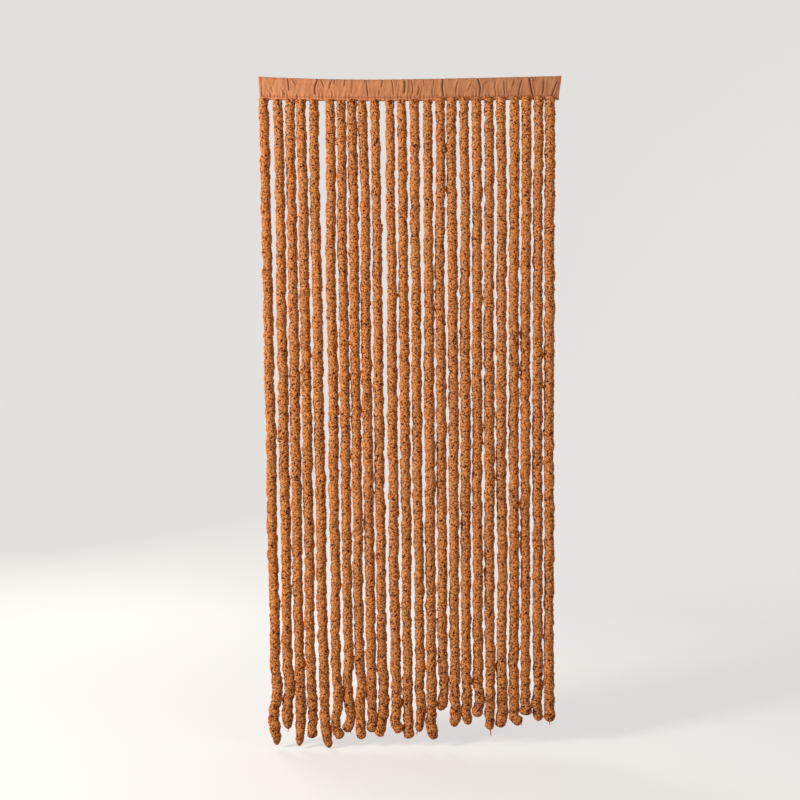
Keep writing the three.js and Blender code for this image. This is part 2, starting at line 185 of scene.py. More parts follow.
# Strands: where each hangs, left to right. levels is its middle, in X, at the distances below the
# origin that LEVELS holds. knee and bend are its last turns and tip is its end, each as X and the
# distance below the origin. taper is the length over which the end narrows, forward is how far the tip
# comes towards the viewer, and girth is the share of the usual pile radius at the three distances from
# the root that GIRTH_LEVELS holds, and at the foot, where the pile is brushed out.
LEVELS = (74, 210, 350, 490, 630, 770, 910, 1050, 1190, 1330, 1470, 1610, 1750)
GIRTH_LEVELS = (300, 900, 1500)
STRAND_COLUMNS = ("levels", "knee", "bend", "tip", "taper", "forward", "girth")
STRAND_ROWS = [
    (
        (-436, -432, -430, -426, -423, -421, -419, -413, -412, -411, -407, -402, -401),
        (-394, 1836), (-405, 1882), (-395, 1985), 60, 0, (1.04, 1.06, 1.07, 1.22),
    ),
    (
        (-394, -389, -387, -384, -384, -381, -377, -377, -374, -370, -368, -367, -364),
        (-357, 1812), (-365, 1860), (-362, 1936), 36, 2, (1.01, 1.11, 1.04, 1.23),
    ),
    (
        (-357, -356, -353, -350, -348, -345, -343, -342, -338, -336, -335, -332, -328),
        (-325, 1865), (-325, 1927), (-330, 1987), 80, 0, (1.03, 1.10, 1.05, 1.21),
    ),
    (
        (-325, -322, -317, -316, -314, -311, -309, -305, -305, -301, -299, -299, -295),
        (-291, 1840), (-289, 1915), (-292, 1963), 16, 7, (1.03, 1.08, 1.04, 1.12),
    ),
    (
        (-286, -285, -283, -280, -276, -274, -273, -270, -267, -264, -264, -261, -256),
        (-254, 1868), (-250, 1939), (-239, 1992), 34, 0, (1.04, 1.12, 1.07, 1.13),
    ),
    (
        (-238, -236, -235, -236, -235, -231, -228, -227, -227, -225, -221, -222, -220),
        (-213, 1858), (-221, 1930), (-202, 1962), 14, 5, (1.03, 1.07, 1.02, 1.09),
    ),
    (
        (-205, -203, -202, -202, -198, -196, -194, -192, -191, -189, -187, -185, -182),
        (-187, 1800), (-178, 1916), (-195, 1943), 16, 6, (0.99, 1.06, 1.01, 1.14),
    ),
    (
        (-173, -171, -168, -167, -165, -164, -162, -159, -158, -154, -155, -152, -149),
        (-143, 1800), (-148, 1870), (-144, 1966), 16, 0, (1.04, 1.06, 1.03, 1.14),
    ),
    (
        (-142, -138, -133, -132, -132, -131, -128, -126, -123, -122, -119, -117, -115),
        (-113, 1868), (-110, 1904), (-116, 1947), 15, -3, (0.98, 1.09, 1.04, 1.14),
    ),
    (
        (-105, -102, -100, -97, -97, -94, -94, -91, -91, -87, -86, -84, -82),
        (-77, 1835), (-81, 1900), (-92, 1958), 18, 6, (0.98, 1.06, 1.02, 1.20),
    ),
    (
        (-60, -58, -58, -55, -53, -54, -52, -52, -49, -48, -48, -44, -42),
        (-39, 1859), (-42, 1918), (-26, 1944), 16, 5, (0.96, 1.07, 1.07, 1.20),
    ),
    (
        (-25, -22, -21, -20, -19, -17, -16, -14, -13, -10, -10, -10, -6),
        (-7, 1859), (-4, 1904), (-5, 1966), 14, 0, (0.99, 1.09, 1.01, 1.16),
    ),
    (
        (13, 15, 15, 16, 19, 19, 20, 22, 22, 25, 28, 28, 31),
        (29, 1815), (34, 1878), (26, 1945), 34, 0, (1.00, 1.05, 0.99, 1.09),
    ),
    (
        (53, 54, 55, 55, 57, 58, 57, 59, 61, 60, 62, 63, 64),
        (65, 1874), (64, 1928), (74, 1966), 18, 5, (0.98, 1.11, 1.06, 1.18),
    ),
    (
        (90, 92, 91, 89, 89, 92, 93, 94, 94, 96, 97, 96, 99),
        (102, 1826), (98, 1855), (89, 1882), 22, 2, (1.01, 1.08, 1.04, 1.10),
    ),
    (
        (124, 123, 125, 127, 128, 128, 130, 131, 130, 132, 132, 132, 135),
        (133, 1830), (136, 1890), (130, 1929), 26, 0, (1.05, 1.08, 1.02, 1.19),
    ),
    (
        (161, 162, 165, 165, 164, 164, 165, 166, 166, 166, 167, 167, 168),
        (170, 1859), (167, 1892), (178, 1923), 22, 2, (0.98, 1.12, 1.03, 1.16),
    ),
    (
        (198, 199, 201, 200, 201, 200, 200, 202, 200, 201, 203, 202, 204),
        (202, 1800), (209, 1850), (196, 1900), 18, 3, (1.03, 1.08, 1.05, 1.16),
    ),
    (
        (235, 237, 237, 236, 235, 235, 237, 236, 238, 236, 237, 237, 240),
        (239, 1859), (238, 1898), (239, 1938), 22, 0, (1.00, 1.14, 1.06, 1.11),
    ),
    (
        (271, 273, 274, 274, 273, 273, 272, 272, 272, 275, 276, 274, 273),
        (276, 1855), (275, 1895), (266, 1931), 14, 6, (1.01, 1.11, 1.04, 1.23),
    ),
    (
        (312, 312, 312, 311, 309, 310, 311, 309, 310, 310, 311, 311, 309),
        (311, 1865), (311, 1897), (330, 1920), 16, 5, (1.04, 1.09, 1.03, 1.16),
    ),
    (
        (347, 348, 347, 346, 345, 344, 344, 344, 344, 343, 345, 344, 344),
        (344, 1838), (345, 1866), (346, 1893), 9, 10, (1.03, 1.07, 0.99, 1.08),
    ),
    (
        (383, 384, 381, 382, 381, 381, 380, 380, 380, 381, 380, 380, 382),
        (383, 1812), (378, 1857), (384, 1913), 18, 0, (0.99, 1.08, 1.05, 1.08),
    ),
    (
        (417, 418, 417, 415, 416, 415, 415, 414, 414, 415, 415, 414, 414),
        (415, 1856), (416, 1886), (416, 1914), 18, 0, (1.07, 1.07, 1.03, 1.18),
    ),
]
STRANDS = [dict(zip(STRAND_COLUMNS, row)) for row in STRAND_ROWS]
# How a strand stands in front of or behind the others: reach and length of its slow wave, the distance
# below the origin over which it comes in, and its turn from strand to strand
DEPTH_WAVE = {"reach": 3, "length": 640, "from": LEVELS[0], "to": 360, "turn": 2.4}
# Places of a strand's middle line between two of its levels
LINE_STEPS = 60

# Pile of a strand: a net of points over its surface, where each third point is the crown of a loop
PILE_COLUMNS = 24
PILE_ROW_PITCH = 2.85
PILE_RADIUS = 13.5
# Height of the pile between its loops and on their crowns, over the pile radius
LOOP_LOW = -1.9
LOOP_HIGH = 2.3
# The share of crowns that run on into a point beside them, and of those that are missing
LOOP_RUN_ON = 0.8
LOOP_MISSING = 0.12
# How far a point is out of its place in the net, and how the whole net twists along the strand
LOOP_JITTER = 0.6
NET_TWISTS = [(170, 0.5), (67, 0.12)]
SEED = 20
# How the pile opens out under the hem: distance along the strand, and share of the full radius.
# From the fifteenth strand on the pile was caught higher up, HIGH_ROOT below the seam, and covers the hem.
NECK = {"along": (0, 1.4, 3.2, 6), "share": (0.18, 0.36, 0.9, 1)}
HIGH_NECK = {"along": (0, 1.5, 4, 10), "share": (0.3, 0.75, 0.94, 1)}
FIRST_HIGH_STRAND = 14
HIGH_ROOT = 0.5
# The others were sewn in a little higher or lower: distance below the seam, and the turn between strands
LOW_ROOT = {"middle": 4.8, "reach": 1.8, "turn": 2.7}
# Where the foot's own girth starts to show and where it has taken over, as distances from the tip
FOOT_REACH = (260, 100)
# One strand ends in a round knob, wider than the strand above it
KNOB = {"strand": 22, "above": 12, "reach": 12, "share": 0.3}
# Slow swells and hollows of the pile: length along the strand, turns round it, and height
LUMPS = [(19, 2, 0.3), (31, 1, 0.4), (38, -1, 0.35), (47, 0, 0.6)]
LUMPS += [(58, -2, 0.4), (83, 1, 0.5), (120, 0, 0.65)]
# Slow sway of the whole strand: length and reach, where it comes in, as distances from the root, and
# where it goes out, as distances from the tip
SWAYS = [(64, 0.5), (104, 0.75)]
SWAY_IN = (20, 200)
SWAY_OUT = (160, 60)
# Thin places where the pile has parted and looks dark, both deeper and with the painted shade of their
# lowered loops: how many, how wide and how deep, how much longer than wide, and how far their loops lie
# down
PARTINGS = 34
PARTING_WIDTH = (2.4, 4.4)
PARTING_DEPTH = (1, 2.6)
PARTING_STRETCH = 1.6
PARTING_FLAT = 0.9
# Under the hem the low strands have one more, towards the front: its distance from the root, and its
# angle to the right of the front
SLIT_ALONG = (8, 11)
SLIT_ASIDE = (-0.2, 0.7)
# Towards the foot the twist of the yarn shows as a spiral groove, where the loops lie down a little
GROOVE_PITCH = 37
GROOVE_DEPTH = 1.1
GROOVE_WIDTH = 0.42
GROOVE_REACH = 230
GROOVE_FLAT = 0.45
# Roundness of a tip
TIP_POWERS = (2.6, 0.55)

# Ends of the core cord that stick out of the tips: the strand, where each starts and ends, as X and the
# distance below the origin, and its radius. All bend by TAIL_BOW and get thinner as TAIL_TAPER says
TAIL_BOW = 1.3
TAIL_TAPER = (1, 1, 1, 0.95, 0.9, 0.75, 0.3)
TAIL_COLUMNS = ("strand", "start", "end", "radius")
TAIL_ROWS = [
    (2, (-361.2, 1930), (-364.8, 1946), 1.4),
    (7, (-175.5, 1936), (-174.4, 1951), 1.2),
    (13, (25, 1938), (19.8, 1954), 1.5),
    (19, (240.8, 1932), (242.2, 1958), 1.7),
    (21, (328, 1915), (333, 1925), 1.3),
    (24, (416.6, 1906), (417.6, 1925), 1.5),
]
TAILS = [dict(zip(TAIL_COLUMNS, row)) for row in TAIL_ROWS]

# Sewing: pitch and size of a stitch, how far its ends and its middle stand out of the cloth, and its
# radius along it, as shares
STITCH_PITCH = 4.2
STITCH_LENGTH = 3.1
STITCH_RADIUS = 0.7
STITCH_RISE = (-0.1, 0.35, -0.1)
STITCH_TAPER = (0.55, 0.95, 1, 0.95, 0.55)
# A stitch is a little out of its place, sideways as a share of the pitch and upwards in millimetres
STITCH_UNEVEN = (0.08, 0.25)
# Stitches that were pulled less tight lie thicker: the share, and after how many stitches it comes back
STITCH_SWELL = {"share": 0.35, "run": 6.4}
# The seam of a side hem: how far it is from the end, how far its upper end is under the top fold, and
# how far its lower end is over the long seam
SIDE_SEAM = 7
SIDE_SEAM_TOP = 6
SIDE_SEAM_FOOT = 4

# Studio: the paper cove's flat floor, its bend and its height, and how far the floor is under the tips
COVE_FLAT = 2500
COVE_BEND = 2200
COVE_TOP = 3200
COVE_SIDES = 128
COVE_BELOW = 3
AIR_STRENGTH = 0.48
# Soft boxes: where each stands and what it is aimed at, its size, its power in watts and its colour
LAMPS = [
    ("key_light", (-3400, -2200, -200), (0, 0, -800), 1000, 206, "#fff4e6"),
    ("fill_light", (2300, -2400, 300), (0, 0, -900), 1600, 15, "#fff8f0"),
    ("back_light", (-1900, 2500, -300), (0, 0, -950), 1400, 45, "#fff4ea"),
]


def linear(colour):
    """A colour written as sRGB hex, as linear red, green, blue and alpha."""
    parts = [int(colour[i : i + 2], 16) / 255 for i in (1, 3, 5)]
    return [c / 12.92 if c <= 0.04045 else ((c + 0.055) / 1.055) ** 2.4 for c in parts] + [1]


def add_node(tree, kind, inputs=None, stops=(), **settings):
    """A new node. inputs gives a socket its value, or the output that is linked to it."""
    node = tree.nodes.new(kind)
    for name, value in settings.items():
        setattr(node, name, value)
    for socket, value in (inputs or {}).items():
        if isinstance(value, bpy.types.NodeSocket):
            tree.links.new(value, node.inputs[socket])
        else:
            node.inputs[socket].default_value = value
    for number, (place, colour) in enumerate(stops):
        ramp = node.color_ramp.elements
        stop = ramp[number] if number < 2 else ramp.new(place)
        stop.position = place
        stop.color = linear(colour)
    return node


def new_material(name):
    """An empty material and its node tree."""
    material = bpy.data.materials.new(name)
    material.use_nodes = True
    material.node_tree.nodes.clear()
    return material, material.node_tree


def finish_material(tree, shader):
    """Joins the shader to the output of its material."""
    add_node(tree, "ShaderNodeOutputMaterial", {"Surface": shader.outputs[0]})


def per_metre(size):
    """Texture scale that draws a pattern of that many millimetres."""
    return 1000 / size


def bands_per_metre(size):
    """Scale of a wave texture whose bands are that many millimetres apart. At scale 1 a unit holds
    20 / 2 pi of them."""
    return per_metre(size) / (20 / (2 * math.pi))


def looped_chenille():
    """Looped cotton chenille, dyed rust orange. Its colour holds painted shade, nearly black in the gaps
    between the loops and lighter on their crowns, and the loose fibres give a soft reddish rim."""
    pile_shade_colours = [(0.1, "#361509"), (0.25, "#934f1e"), (0.4, "#c27d46"), (0.66, "#c78955")]
    pile_shade_colours += [(0.92, "#c99a70")]
    loop_size = 4.6
    curl_size = 9
    curl_reach = 3.4
    dye_size = 60
    fibre_size = 1.1
    material, tree = new_material("looped_chenille")
    place = add_node(tree, "ShaderNodeTexCoord").outputs["Object"]
    curl_scale = per_metre(curl_size)
    curl = add_node(tree, "ShaderNodeTexNoise", {"Vector": place, "Scale": curl_scale, "Detail": 1})
    centred = add_node(
        tree,
        "ShaderNodeVectorMath",
        {0: curl.outputs["Color"], 1: (0.5, 0.5, 0.5)},
        operation="SUBTRACT",
    )
    bent = add_node(
        tree,
        "ShaderNodeVectorMath",
        {0: centred.outputs[0], 1: (2 * curl_reach * MM,) * 3, 2: place},
        operation="MULTIPLY_ADD",
    )
    loops = add_node(
        tree,
        "ShaderNodeTexVoronoi",
        {"Vector": bent.outputs[0], "Scale": per_metre(loop_size), "Randomness": 1},
    )
    crown = add_node(
        tree,
        "ShaderNodeMapRange",
        {"Value": loops.outputs["Distance"], "From Min": 0, "From Max": 0.75, "To Min": 1, "To Max": 0},
        interpolation_type="SMOOTHSTEP",
    )
    pile = add_node(tree, "ShaderNodeAttribute", attribute_name="pile_height")
    height = add_node(
        tree,
        "ShaderNodeMix",
        {"Factor": 0.42, "A": pile.outputs["Fac"], "B": crown.outputs["Result"]},
    )
    # The pile's painted shade: its colour follows the height in the loop, dark between the loops and light
    # on their crowns
    depth = add_node(
        tree, "ShaderNodeValToRGB", {"Fac": height.outputs["Result"]}, stops=pile_shade_colours
    )
    dye_scale = per_metre(dye_size)
    dye = add_node(tree, "ShaderNodeTexNoise", {"Vector": place, "Scale": dye_scale, "Detail": 2})
    lighter = add_node(
        tree,
        "ShaderNodeMapRange",
        {"Value": dye.outputs["Fac"], "From Min": 0.3, "From Max": 0.7, "To Min": 0.93, "To Max": 1.07},
    )
    colour = add_node(
        tree,
        "ShaderNodeHueSaturation",
        {"Color": depth.outputs["Color"], "Value": lighter.outputs["Result"], "Saturation": 1},
    )
    raised = add_node(
        tree,
        "ShaderNodeBump",
        {"Height": height.outputs["Result"], "Strength": 0.5, "Distance": 1.6 * MM},
    )
    # The fuzz of the loops, drawn coarser than it is so that it shows close up
    fibre_scale = per_metre(fibre_size)
    fibre = add_node(tree, "ShaderNodeTexNoise", {"Vector": place, "Scale": fibre_scale, "Detail": 2})
    fuzzy = add_node(
        tree,
        "ShaderNodeBump",
        {
            "Height": fibre.outputs["Fac"],
            "Strength": 0.3,
            "Distance": 0.25 * MM,
            "Normal": raised.outputs[0],
        },
    )
    shader = add_node(
        tree,
        "ShaderNodeBsdfPrincipled",
        {
            "Base Color": colour.outputs["Color"],
            "Roughness": 0.92,
            "IOR": 1.53,
            "Specular IOR Level": 0.15,
            "Sheen Weight": 0.5,
            "Sheen Roughness": 0.4,
            "Sheen Tint": linear("#ff6e50"),
            "Normal": fuzzy.outputs[0],
        },
    )
    finish_material(tree, shader)
    return material


def plain_woven_cotton():
    """Plain-woven cotton, piece dyed peach terracotta and washed. Matt, with a fine even weave, slubs
    that run with the threads, and a redder edge where the cloth is turned in."""
    # The real threads are 0.45 mm apart; they are drawn coarser so that they show close up
    thread_pitch = 0.9
    slub_length = 14
    slub_width = 1.6
    dye_size = 26
    material, tree = new_material("plain_woven_cotton")
    place = add_node(tree, "ShaderNodeTexCoord").outputs["Object"]
    across, upright = (
        add_node(
            tree,
            "ShaderNodeTexWave",
            {"Vector": place, "Scale": bands_per_metre(thread_pitch), "Distortion": 1.2, "Detail": 1},
            wave_type="BANDS",
            bands_direction=direction,
        )
        for direction in ("X", "Z")
    )
    weave = add_node(
        tree,
        "ShaderNodeMath",
        {0: across.outputs["Fac"], 1: upright.outputs["Fac"]},
        operation="MULTIPLY",
    )
    slub_scale = (per_metre(slub_length), per_metre(slub_width), per_metre(slub_width))
    stretched = add_node(tree, "ShaderNodeMapping", {"Vector": place, "Scale": slub_scale})
    slub_place = stretched.outputs[0]
    slub = add_node(tree, "ShaderNodeTexNoise", {"Vector": slub_place, "Scale": 1, "Detail": 2})
    dye_scale = per_metre(dye_size)
    dye = add_node(tree, "ShaderNodeTexNoise", {"Vector": place, "Scale": dye_scale, "Detail": 3})
    threads, shades = slub.outputs["Fac"], dye.outputs["Fac"]
    tone = add_node(tree, "ShaderNodeMix", {"Factor": 0.5, "A": threads, "B": shades})
    cloth = add_node(
        tree,
        "ShaderNodeValToRGB",
        {"Fac": tone.outputs["Result"]},
        stops=[(0.34, "#a86c48"), (0.5, "#b27650"), (0.66, "#bc815c")],
    )
    edge = add_node(tree, "ShaderNodeAttribute", attribute_name="turned_edge")
    colour = add_node(
        tree,
        "ShaderNodeMix",
        {"Factor": edge.outputs["Fac"], "A": cloth.outputs["Color"], "B": linear("#b4644b")},
        data_type="RGBA",
    )
    # fold is the mask of the painted shade in the creases
    fold = add_node(tree, "ShaderNodeAttribute", attribute_name="fold")
    shade = add_node(
        tree,
        "ShaderNodeMapRange",
        {"Value": fold.outputs["Fac"], "To Min": 1, "To Max": 1 - CREASE_PAINTED_SHADE},
    )
    # Painted light: the colour is lighter at the left end and darker towards the right, as light from the
    # left would fall
    left_to_right = add_node(tree, "ShaderNodeSeparateXYZ", {"Vector": place})
    painted_falloff = add_node(
        tree,
        "ShaderNodeMapRange",
        {
            "Value": left_to_right.outputs["X"],
            "From Min": TOP_LEFT * MM,
            "From Max": TOP_RIGHT * MM,
            "To Min": 1.14,
            "To Max": 0.9,
        },
    )
    value = add_node(
        tree,
        "ShaderNodeMath",
        {0: shade.outputs["Result"], 1: painted_falloff.outputs["Result"]},
        operation="MULTIPLY",
    )
    # Painted shade darkens the colour in the creases, and the painted falloff darkens it towards the right
    # end
    painted_shading = add_node(
        tree,
        "ShaderNodeHueSaturation",
        {"Color": colour.outputs["Result"], "Value": value.outputs[0], "Saturation": 1},
    )
    relief = add_node(
        tree, "ShaderNodeBump", {"Height": weave.outputs[0], "Strength": 0.35, "Distance": 0.18 * MM}
    )
    uneven = add_node(
        tree,
        "ShaderNodeBump",
        {
            "Height": tone.outputs["Result"],
            "Strength": 0.3,
            "Distance": 0.6 * MM,
            "Normal": relief.outputs[0],
        },
    )
    shader = add_node(
        tree,
        "ShaderNodeBsdfPrincipled",
        {
            "Base Color": painted_shading.outputs["Color"],
            "Roughness": 0.88,
            "IOR": 1.53,
            "Specular IOR Level": 0.3,
            "Sheen Weight": 0.12,
            "Sheen Roughness": 0.5,
            "Sheen Tint": linear("#ffd0b0"),
            "Normal": uneven.outputs[0],
        },
    )
    finish_material(tree, shader)
    return material


def twisted_yarn(name, dark, light, turn, roughness):
    """Twisted yarn: slanting ridges of two plies, with painted shade where they meet."""
    material, tree = new_material(name)
    place = add_node(tree, "ShaderNodeTexCoord").outputs["Object"]
    plies = add_node(
        tree,
        "ShaderNodeTexWave",
        {"Vector": place, "Scale": bands_per_metre(turn), "Distortion": 0.6},
        wave_type="BANDS",
        bands_direction="DIAGONAL",
    )
    # Painted shade: the colour darkens between the plies
    colour = add_node(
        tree, "ShaderNodeValToRGB", {"Fac": plies.outputs["Fac"]}, stops=[(0.1, dark), (0.8, light)]
    )
    relief = add_node(
        tree, "ShaderNodeBump", {"Height": plies.outputs["Fac"], "Strength": 0.6, "Distance": 0.25 * MM}
    )
    shader = add_node(
        tree,
        "ShaderNodeBsdfPrincipled",
        {
            "Base Color": colour.outputs["Color"],
            "Roughness": roughness,
            "IOR": 1.53,
            "Normal": relief.outputs[0],
        },
    )
    finish_material(tree, shader)
    return material


def studio_paper():
    """Matt background paper, lit a little from behind: even and pale, with nothing to draw the eye."""
    material, tree = new_material("studio_paper")
    shader = add_node(
        tree,
        "ShaderNodeBsdfPrincipled",
        {
            "Base Color": linear("#a4a4a4"),
            "Roughness": 0.95,
            "IOR": 1.45,
            "Emission Color": linear("#ffffff"),
            "Emission Strength": 0.48,
        },
    )
    finish_material(tree, shader)
    return material


def mix(a, b, share):
    """The value that lies that share of the way from a to b."""
    return a + (b - a) * share


def ease(value, start, end):
    """Smooth step from 0 to 1 as value goes from start to end."""
    share = np.clip((value - start) / (end - start), 0, 1)
    return share * share * (3 - 2 * share)


def bell(value, width):
    """Bell curve that is 1 at 0 and falls off over the width."""
    return np.exp(-((value / width) ** 2))


def top_fold(x):
    """Height of the top fold over the origin, at x along the heading."""

    def rise(at):
        left = np.maximum(SAG_PLACE - at, 0) / (SAG_PLACE - TOP_LEFT)
        right = np.maximum(at - SAG_PLACE, 0) / (TOP_RIGHT - SAG_PLACE)
        climb_left = SAG_LEFT["climb"] * left ** SAG_LEFT["power"]
        return climb_left + SAG_RIGHT["climb"] * right ** SAG_RIGHT["power"]

    return rise(np.asarray(x, float)) - rise(np.float64(0))


def seam(x):
    """Height of the row of stitching."""
    return SEAM_SHARE * top_fold(x) - SLEEVE_HEIGHT


def waves(values, rows, rng):
    """A sum of slow waves with the lengths and heights of the rows, each with its own start."""
    total = 0
    for length, height in rows:
        total = total + height * np.sin(2 * np.pi * values / length + rng.uniform(0, 2 * np.pi))
    return total


def mesh_object(name, points, faces, material, **values):
    """A smooth-shaded mesh from points in millimetres. values are numbers kept for each point."""
    mesh = bpy.data.meshes.new(name)
    mesh.from_pydata(np.asarray(points) * MM, [], np.asarray(faces))
    mesh.update()
    mesh.shade_smooth()
    for title, numbers in values.items():
        layer = mesh.attributes.new(title, "FLOAT", "POINT")
        layer.data.foreach_set("value", np.asarray(numbers, np.float32))
    mesh.materials.append(material)
    piece = bpy.data.objects.new(name, mesh)
    bpy.context.scene.collection.objects.link(piece)
    return piece


def crease_depth(x, share):
    """How far the creases turn the cloth in, at places across the heading and shares of its height."""
    depth = np.zeros(np.broadcast(x, share).shape)
    for number, crease in enumerate(CREASES):
        (start_x, start), (end_x, end) = crease["start"], crease["end"]
        run = (share - start) / (end - start)
        bow = crease["bow"] * 4 * run * (1 - run) * (np.abs(run - 0.5) < 0.5)
        waver = CREASE_WAVER["reach"] * np.sin(CREASE_WAVER["pace"] * share + number)
        middle = mix(start_x, end_x, run) + bow + waver
        away = (x - middle) / crease["wide"]
        shape = bell(away, 1)
        for ridge in (NEAR_RIDGE, FAR_RIDGE):
            shape = shape - ridge["share"] * bell(away - ridge["away"], ridge["wide"])
        starts = ease(share, start - CREASE_FADE, start + CREASE_FADE)
        ends = 1 - ease(share, end - CREASE_FADE, end + CREASE_FADE)
        depth += crease["deep"] * starts * ends * shape
    return depth


def wrinkle_depth(x, z, side):
    """Soft small wrinkles over the whole cloth, and puckers along the seam, in millimetres."""
    rng = np.random.default_rng(SEED + (side > 0))
    depth = np.zeros(np.broadcast(x, z).shape)
    for length in WRINKLE_LENGTHS:
        slant = rng.uniform(-WRINKLE_SLANT, WRINKLE_SLANT)
        start = rng.uniform(0, 2 * np.pi)
        depth += WRINKLE_STEEPNESS * length * np.sin(2 * np.pi * (x + slant * z) / length + start)
    return depth + waves(x, PUCKERS, rng) * bell(z + SLEEVE_HEIGHT, PUCKER_REACH)


def cloth(across, depth, height):
    """Places of the heading's cloth. across is the share from the left end to the right one, depth and
    height are a place on the plain section, whose height is 0 at the top fold."""
    side = np.sign(depth)
    share = np.clip(-height / SLEEVE_HEIGHT, 0, 1)
    drop = np.clip(-height - SLEEVE_HEIGHT, 0, None)
    x = mix(mix(TOP_LEFT, TOP_RIGHT, across), mix(SEAM_LEFT, SEAM_RIGHT, across), share)
    crease = crease_depth(x, share)
    crease = crease * np.where(side > 0, BACK_SHARE, 1)
    wrinkle = np.where(side > 0, wrinkle_depth(x, height, 1), wrinkle_depth(x, height, -1))
    from_end = np.minimum(across, 1 - across) * (TOP_RIGHT - TOP_LEFT)
    turned = SIDE_HEM_RISE * (1 - ease(from_end, *SIDE_HEM_EDGE))
    roots = np.array([strand["levels"][0] for strand in STRANDS])
    nearest = np.abs(np.asarray(x)[..., None] - roots).min(-1)
    pushed = bell(nearest, ROOT_BULGE["wide"]) * ease(drop, 0, ROOT_BULGE["below"]) * ROOT_BULGE["out"]
    inward = (crease + wrinkle) * ease(from_end, *END_REACH) - turned - pushed
    # Near the top fold and at the seam, where front and back meet, the cloth can't move in or out
    free = ease(np.abs(depth), 0.6, 3.6)
    y = depth - side * inward * np.maximum(free, ease(drop, 0, 6))
    least = np.minimum(np.abs(depth), LEAST_DEPTH)
    y = side * np.where(side * y > 0, np.maximum(np.abs(y), least), least)
    notch = NOTCH_SHARE * np.maximum(crease, 0)
    scallop = HEM_SCALLOP * (1 - bell(nearest, SCALLOP_WIDE)) * ease(drop, 4, 11)
    z = mix(top_fold(x) - notch, seam(x), share) - drop + scallop
    return np.stack([x, y, z], -1), crease


def spread(values, pitch):
    """Places along the values, as far apart as the pitch that goes with each of them."""
    steps = np.concatenate([[0], np.cumsum(np.diff(values) * 2 / (pitch[1:] + pitch[:-1]))])
    return np.interp(np.linspace(0, steps[-1], round(steps[-1]) + 1), steps, values)


def heading_section():
    """The plain section of the heading, from the front's turned-in edge over the top to the back's."""
    front = [(-y, z - SLEEVE_HEIGHT) for y, z in HEM_PROFILE]
    front += [(-y, -share * SLEEVE_HEIGHT) for y, share in SLEEVE_PROFILE]
    back = [(-y, z) for y, z in front[-2::-1]]
    corners = np.array(front + back, float)
    line = smooth_line(corners, 12)
    along = distances(line)
    plain = np.where(line[:, 0] > 0, BACK_ROW_PITCH, ROW_PITCH)
    places = spread(along, mix(plain, SEAM_ROW_PITCH, bell(line[:, 1] + SLEEVE_HEIGHT, 3)))
    return np.stack([np.interp(places, along, line[:, k]) for k in (0, 1)], -1)


def smooth_line(points, steps):
    """Centripetal Catmull-Rom line through the points, with that many places between each two."""
    ends = [2 * points[0] - points[1], *points, 2 * points[-1] - points[-2]]
    t = np.linspace(0, 1, steps, endpoint=False)[:, None]
    stretches = []
    for a, b, c, d in zip(ends, ends[1:], ends[2:], ends[3:]):
        before, here, after = (np.linalg.norm(q - p) ** 0.5 for p, q in ((a, b), (b, c), (c, d)))
        leave = ((b - a) / before - (c - a) / (before + here) + (c - b) / here) * here
        arrive = ((c - b) / here - (d - b) / (here + after) + (d - c) / after) * here
        bend = (2 * b - 2 * c + leave + arrive) * t**3 + (3 * c - 3 * b - 2 * leave - arrive) * t**2
        stretches.append(bend + leave * t + b)
    return np.vstack([*stretches, points[-1]])


def distances(line):
    """Distance along a line of each of its places."""
    return np.concatenate([[0], np.cumsum(np.linalg.norm(np.diff(line, axis=0), axis=1))])


def heading(material):
    """The heading: one strip of cloth, with its two side hems turned in."""
    section = heading_section()
    width = TOP_RIGHT - TOP_LEFT
    x = np.linspace(TOP_LEFT, TOP_RIGHT, 2 * width + 1)
    pitch = np.full(len(x), COLUMN_PITCH, float)
    for crease in CREASES:
        low, high = sorted((crease["start"][0], crease["end"][0]))
        beyond = np.maximum(np.maximum(low - x, x - high), 0)
        pitch = np.minimum(pitch, mix(CREASE_PITCH, COLUMN_PITCH, ease(beyond, 2 * crease["wide"], 12)))
    across = (spread(x, pitch) - TOP_LEFT) / width
    places, crease = cloth(across[:, None], section[None, :, 0], section[None, :, 1])
    # Each side hem is turned in: its cloth goes round the end and a little way back inside
    middle = np.stack([places[..., 0], places[..., 1] * 0, places[..., 2] - 6], -1)
    towards = middle - places
    towards[..., 0] = 0
    towards /= np.maximum(np.linalg.norm(towards, axis=-1, keepdims=True), 1e-6)
    along = np.array([1, 0, 0])
    left = [places[0] + back * along + inside * towards[0] for back, inside in SIDE_HEM_TURN[::-1]]
    right = [places[-1] - back * along + inside * towards[-1] for back, inside in SIDE_HEM_TURN]
    grid = np.concatenate([left, places, right])
    columns, rows = grid.shape[:2]
    corner = (np.arange(columns - 1)[:, None] * rows + np.arange(rows - 1)).ravel()
    faces = np.stack([corner, corner + rows, corner + rows + 1, corner + 1], -1)
    ends = len(SIDE_HEM_TURN)
    shares = np.concatenate([[across[0]] * ends, across, [across[-1]] * ends])
    from_end = np.minimum(shares, 1 - shares) * width
    side_edge = 1 - ease(from_end, *SIDE_TINT)
    below_seam = -section[:, 1] - SLEEVE_HEIGHT
    edge = EDGE_TINT * np.maximum(side_edge[:, None], ease(below_seam, *HEM_TINT))
    # The crease depths, kept as the mask of the painted shade in the creases
    fold = np.concatenate([crease[:1]] * ends + [crease] + [crease[-1:]] * ends)
    piece = mesh_object(
        "heading_cloth",
        grid.reshape(-1, 3),
        faces,
        material,
        turned_edge=edge.ravel(),
        fold=ease(fold, *CREASE_SHADE_DEPTHS).ravel(),
    )
    solid = piece.modifiers.new("thickness", "SOLIDIFY")
    solid.thickness = CLOTH_THICKNESS * MM
    solid.offset = -1
    return piece


def directions(line, guide):
    """Unit vectors at each place of a line: ahead along it, across it and the guide, and the one at right
    angles to both, on the guide's side."""
    ahead = np.gradient(line, axis=0)
    ahead /= np.linalg.norm(ahead, axis=1, keepdims=True)
    across = np.cross(guide, ahead)
    across /= np.linalg.norm(across, axis=1, keepdims=True)
    return ahead, across, np.cross(ahead, across)


